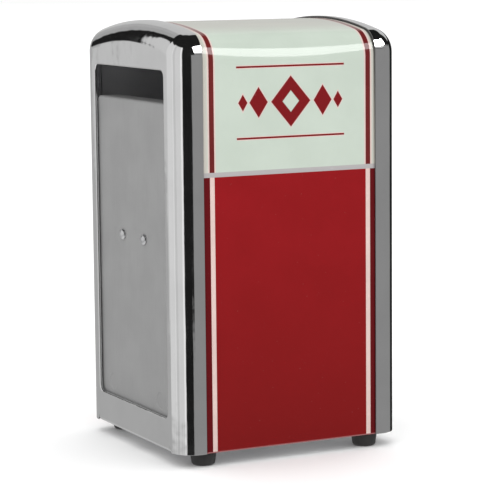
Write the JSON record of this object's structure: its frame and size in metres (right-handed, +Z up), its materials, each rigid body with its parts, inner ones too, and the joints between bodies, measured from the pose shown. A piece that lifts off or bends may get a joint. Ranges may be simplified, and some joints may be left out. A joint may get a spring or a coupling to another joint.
{
  "type": "napkin dispenser",
  "caption": "Two-sided counter dispenser for tall-fold napkins, with a painted arched body, swing-down chromed faceplates and spring-loaded followers.",
  "frame": {"origin": "on the table, under the middle of the body", "axes": "+Z up, -X and +X out of the two faceplates, -Y and +Y out of the painted display sides"},
  "size_m": [0.1084, 0.1008, 0.1905],
  "materials": {
    "body_paint": "gloss enamel, mint above a grey line and deep red below",
    "chrome_plate": "polished chrome",
    "grey_steel": "matt grey",
    "plain_steel": "bright zinc-coated sheet",
    "spring_steel": "drawn wire",
    "zinc": "zinc plated",
    "black_rubber": "matt"
  },
  "bodies": {
    "housing": {"body_shell": "body_paint", "base_plate": "plain_steel", "center_divider": "plain_steel", "foot_front_left": "black_rubber", "foot_front_right": "black_rubber", "foot_back_left": "black_rubber", "foot_back_right": "black_rubber", "foot_rivet_front_left": "zinc", "foot_rivet_front_right": "zinc", "foot_rivet_back_left": "zinc", "foot_rivet_back_right": "zinc", "left_hinge_rod": "zinc", "right_hinge_rod": "zinc", "left_catch_spring": "spring_steel", "right_catch_spring": "spring_steel", "left_spring": "spring_steel", "right_spring": "spring_steel"},
    "left_door": {"left_faceplate": "chrome_plate", "left_catch_tab": "zinc"},
    "right_door": {"right_faceplate": "chrome_plate", "right_catch_tab": "zinc"},
    "left_pusher": {"left_follower": "grey_steel", "left_spring_strap": "zinc", "left_follower_rivet_a": "zinc", "left_follower_rivet_b": "zinc"},
    "right_pusher": {"right_follower": "grey_steel", "right_spring_strap": "zinc", "right_follower_rivet_a": "zinc", "right_follower_rivet_b": "zinc"}
  },
  "joints": [
    {"name": "left_door_hinge", "type": "hinge", "parent": "housing", "child": "left_door", "pos_m": [-0.0492, 0, 0.008], "axis": [0, -1, 0], "range_deg": [0, 90]},
    {"name": "right_door_hinge", "type": "hinge", "parent": "housing", "child": "right_door", "pos_m": [0.0492, 0, 0.008], "axis": [0, 1, 0], "range_deg": [0, 90]},
    {"name": "left_follower_slide", "type": "slide", "parent": "housing", "child": "left_pusher", "axis": [1, 0, 0], "range_m": [0, 0.038], "stiffness_N_per_m": 150, "springref_m": -0.027, "deforming": ["left_spring"]},
    {"name": "right_follower_slide", "type": "slide", "parent": "housing", "child": "right_pusher", "axis": [-1, 0, 0], "range_m": [0, 0.038], "stiffness_N_per_m": 150, "springref_m": -0.027, "deforming": ["right_spring"]}
  ]
}
